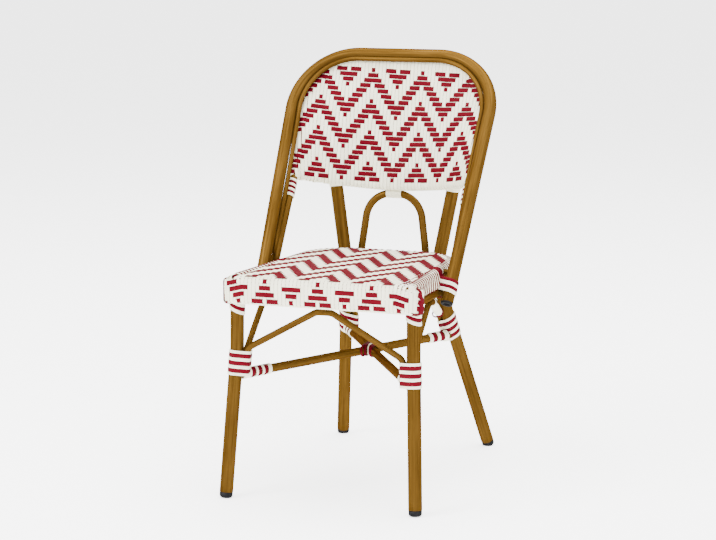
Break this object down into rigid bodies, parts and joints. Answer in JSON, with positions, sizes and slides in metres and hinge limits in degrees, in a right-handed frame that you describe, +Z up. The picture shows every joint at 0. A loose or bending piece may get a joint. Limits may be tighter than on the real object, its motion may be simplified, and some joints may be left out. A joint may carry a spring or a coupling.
{
  "type": "bistro chair",
  "caption": "Stacking bistro side chair with a bent bamboo-look tube frame, a round-cornered woven back and a woven seat with an apron.",
  "frame": {"origin": "on the floor, midway between front and rear, on the mirror plane", "axes": "+Z up, the front of the seat faces -Y, +X to the sitter's left"},
  "size_m": [0.4686, 0.6312, 0.8846],
  "materials": {
    "bamboo_look_paint": "satin brown streaks and nodes over golden brown",
    "woven_strand": "cream strands with flat dark red strips in a zigzag pattern",
    "wound_strand": "turns of cream and dark red strip side by side",
    "black_plastic": "matt moulded"
  },
  "bodies": {
    "root": {"arch_wrap": "wound_strand", "back_arch": "bamboo_look_paint", "back_lower_rail": "bamboo_look_paint", "back_weave": "woven_strand", "crossing_wrap": "wound_strand", "front_brace": "bamboo_look_paint", "front_brace_lug": "bamboo_look_paint", "front_foot_cap_left": "black_plastic", "front_foot_cap_right": "black_plastic", "front_leg_left": "bamboo_look_paint", "front_leg_right": "bamboo_look_paint", "front_leg_wrap_left": "wound_strand", "front_leg_wrap_right": "wound_strand", "front_stretcher_wrap_left": "wound_strand", "front_stretcher_wrap_right": "wound_strand", "hoop_end_cap_left": "black_plastic", "hoop_end_cap_right": "black_plastic", "hoop_end_wrap_left": "wound_strand", "hoop_end_wrap_right": "wound_strand", "hoop_pad_left": "bamboo_look_paint", "hoop_pad_right": "bamboo_look_paint", "hoop_trim": "bamboo_look_paint", "inner_hoop": "bamboo_look_paint", "inner_hoop_pad_left": "bamboo_look_paint", "inner_hoop_pad_right": "bamboo_look_paint", "inner_hoop_wrap_left": "wound_strand", "inner_hoop_wrap_right": "wound_strand", "leg_top_wrap_left": "wound_strand", "leg_top_wrap_right": "wound_strand", "lower_front_rail": "bamboo_look_paint", "lower_side_rail_left": "bamboo_look_paint", "lower_side_rail_right": "bamboo_look_paint", "outer_hoop": "bamboo_look_paint", "rear_foot_cap_left": "black_plastic", "rear_foot_cap_right": "black_plastic", "rear_leg_left": "bamboo_look_paint", "rear_leg_right": "bamboo_look_paint", "rear_leg_wrap_left": "wound_strand", "rear_leg_wrap_right": "wound_strand", "rear_stretcher_wrap_left": "wound_strand", "rear_stretcher_wrap_right": "wound_strand", "seat_cross_bar": "bamboo_look_paint", "seat_front_rail": "bamboo_look_paint", "seat_rear_rail": "bamboo_look_paint", "seat_side_rail_left": "bamboo_look_paint", "seat_side_rail_right": "bamboo_look_paint", "seat_weave": "woven_strand", "side_brace_left": "bamboo_look_paint", "side_brace_right": "bamboo_look_paint", "side_brace_wrap_left": "wound_strand", "side_brace_wrap_right": "wound_strand", "stretcher_long": "bamboo_look_paint", "stretcher_short_front": "bamboo_look_paint", "stretcher_short_rear": "bamboo_look_paint", "upright_pad_left": "bamboo_look_paint", "upright_pad_right": "bamboo_look_paint", "upright_wrap_left": "wound_strand", "upright_wrap_right": "wound_strand"}
  },
  "joints": []
}
